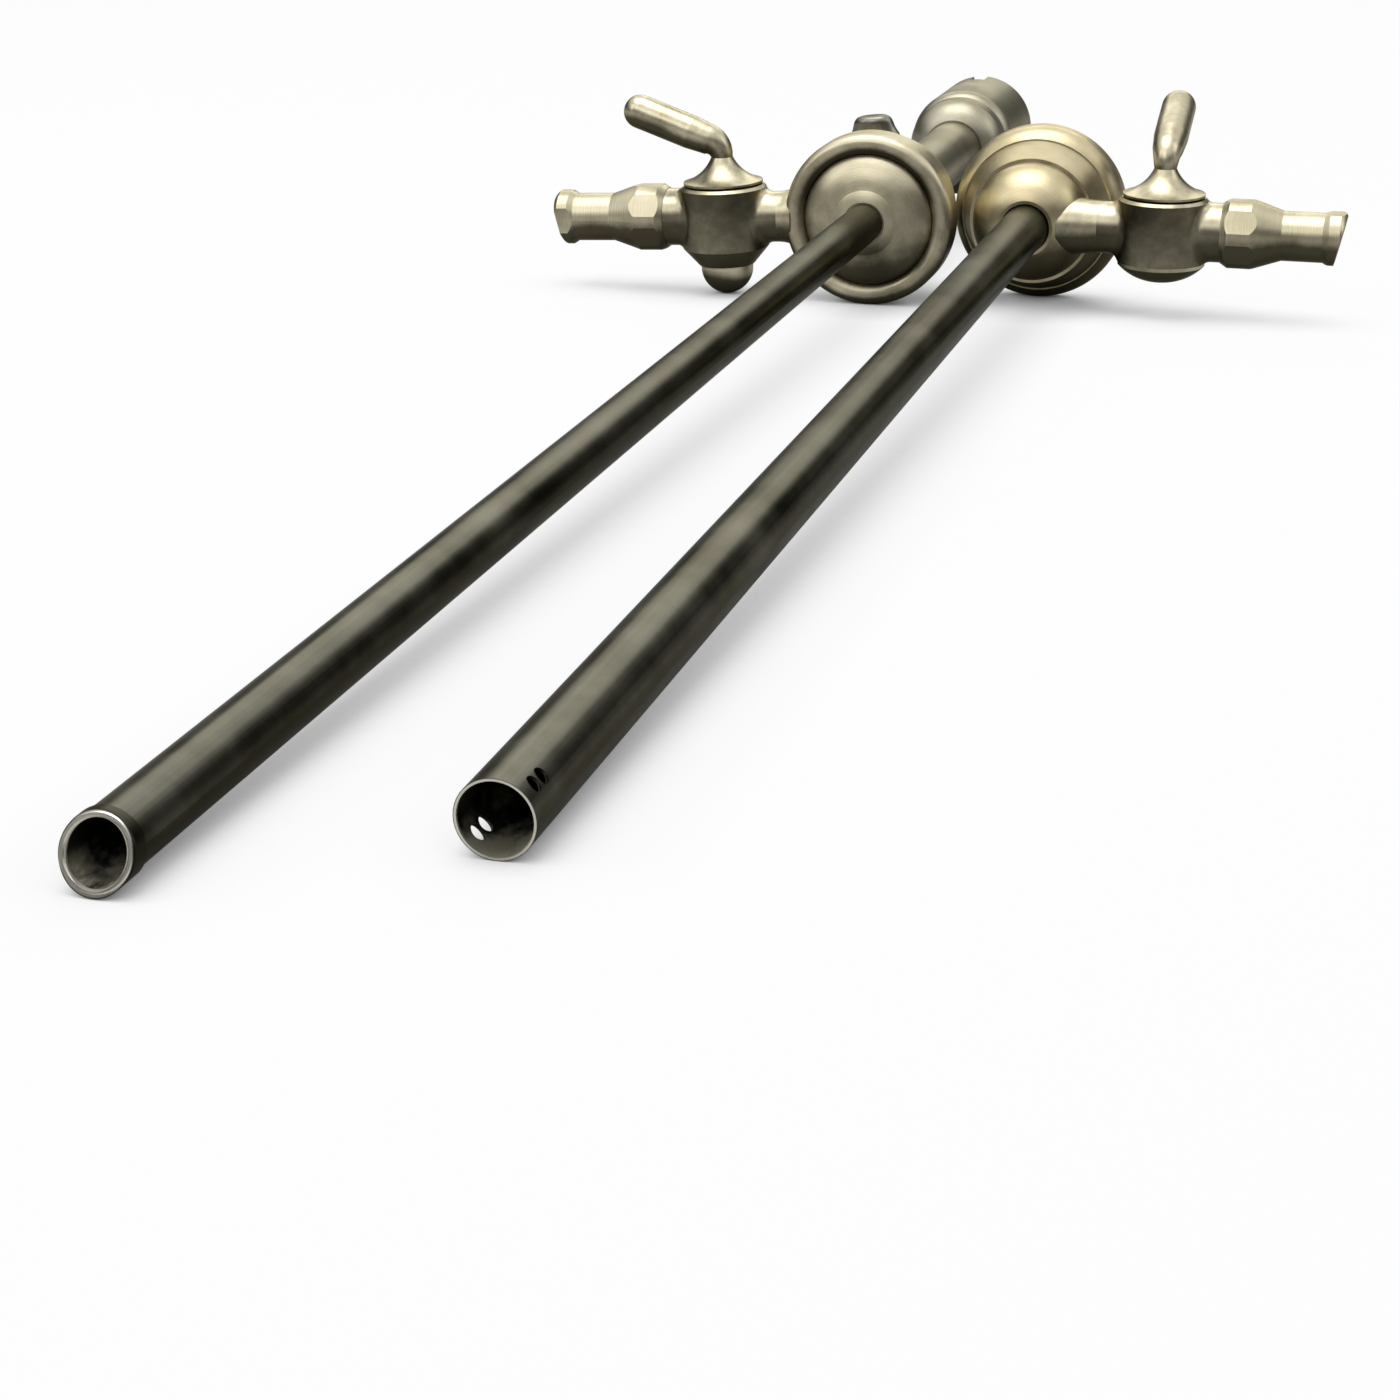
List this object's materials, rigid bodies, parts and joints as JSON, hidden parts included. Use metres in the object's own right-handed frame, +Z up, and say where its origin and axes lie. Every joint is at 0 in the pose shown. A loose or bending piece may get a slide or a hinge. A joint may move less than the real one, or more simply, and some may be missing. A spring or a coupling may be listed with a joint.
{
  "type": "hysteroscope sheath",
  "caption": "Continuous flow hysteroscope sheath taken apart: slim inner sheath with telescope coupling and lock ring, wider outer sheath, each with a stopcock arm.",
  "frame": {"origin": "middle of the whole outline, on the table that both sheaths rest on", "axes": "+Z up from the table, +Y from the tips to the hubs, +X from the inner sheath to the outer sheath"},
  "size_m": [0.1132, 0.3215, 0.0299],
  "materials": {
    "satin_metal": "satin, warm nickel tone",
    "tube_steel": "drawn and finely polished",
    "plug_steel": "ground",
    "seal_rubber": "matt"
  },
  "bodies": {
    "outer_sheath": {"outer_tube": "tube_steel", "outer_hub_nose": "satin_metal", "outer_drum": "satin_metal", "outer_face_seal": "seal_rubber", "outer_cock_body": "satin_metal", "outer_cock_spring": "plug_steel", "outer_cock_cap": "satin_metal", "outer_connector": "satin_metal"},
    "inner_sheath": {"inner_tube": "tube_steel", "inner_tip_band": "tube_steel", "inner_solder_ring": "satin_metal", "inner_nose": "satin_metal", "inner_drum": "satin_metal", "inner_ring_keeper": "satin_metal", "inner_stop_pin": "plug_steel", "inner_rear_sleeve": "satin_metal", "rear_coupling_nose": "satin_metal", "rear_coupling_socket": "satin_metal", "rear_seal": "seal_rubber", "inner_cock_body": "satin_metal", "inner_cock_spring": "plug_steel", "inner_cock_cap": "satin_metal", "inner_connector": "satin_metal"},
    "lock_ring": {"inner_lock_ring": "satin_metal", "inner_lock_knob": "satin_metal"},
    "inner_tap": {"inner_cock_plug": "plug_steel", "inner_cock_lever": "satin_metal"},
    "outer_tap": {"outer_cock_plug": "plug_steel", "outer_cock_lever": "satin_metal"}
  },
  "joints": [
    {"name": "inner_lift", "type": "slide", "parent": "outer_sheath", "child": "inner_sheath", "axis": [0, 0, 1], "range_m": [0, 0.06]},
    {"name": "lock_ring_turn", "type": "hinge", "parent": "inner_sheath", "child": "lock_ring", "pos_m": [-0.00951, 0.08558, 0.01241], "axis": [0.0105, 0.9992, 0.038], "range_deg": [0, 40]},
    {"name": "inner_tap_turn", "type": "hinge", "parent": "inner_sheath", "child": "inner_tap", "pos_m": [-0.03134, 0.08006, 0.01105], "axis": [-0.0527, -0.0374, 0.9979], "range_deg": [-90, 0]},
    {"name": "outer_tap_turn", "type": "hinge", "parent": "outer_sheath", "child": "outer_tap", "pos_m": [0.0313, 0.08228, 0.01195], "axis": [0, -0.0382, 0.9993], "range_deg": [-90, 0]}
  ]
}
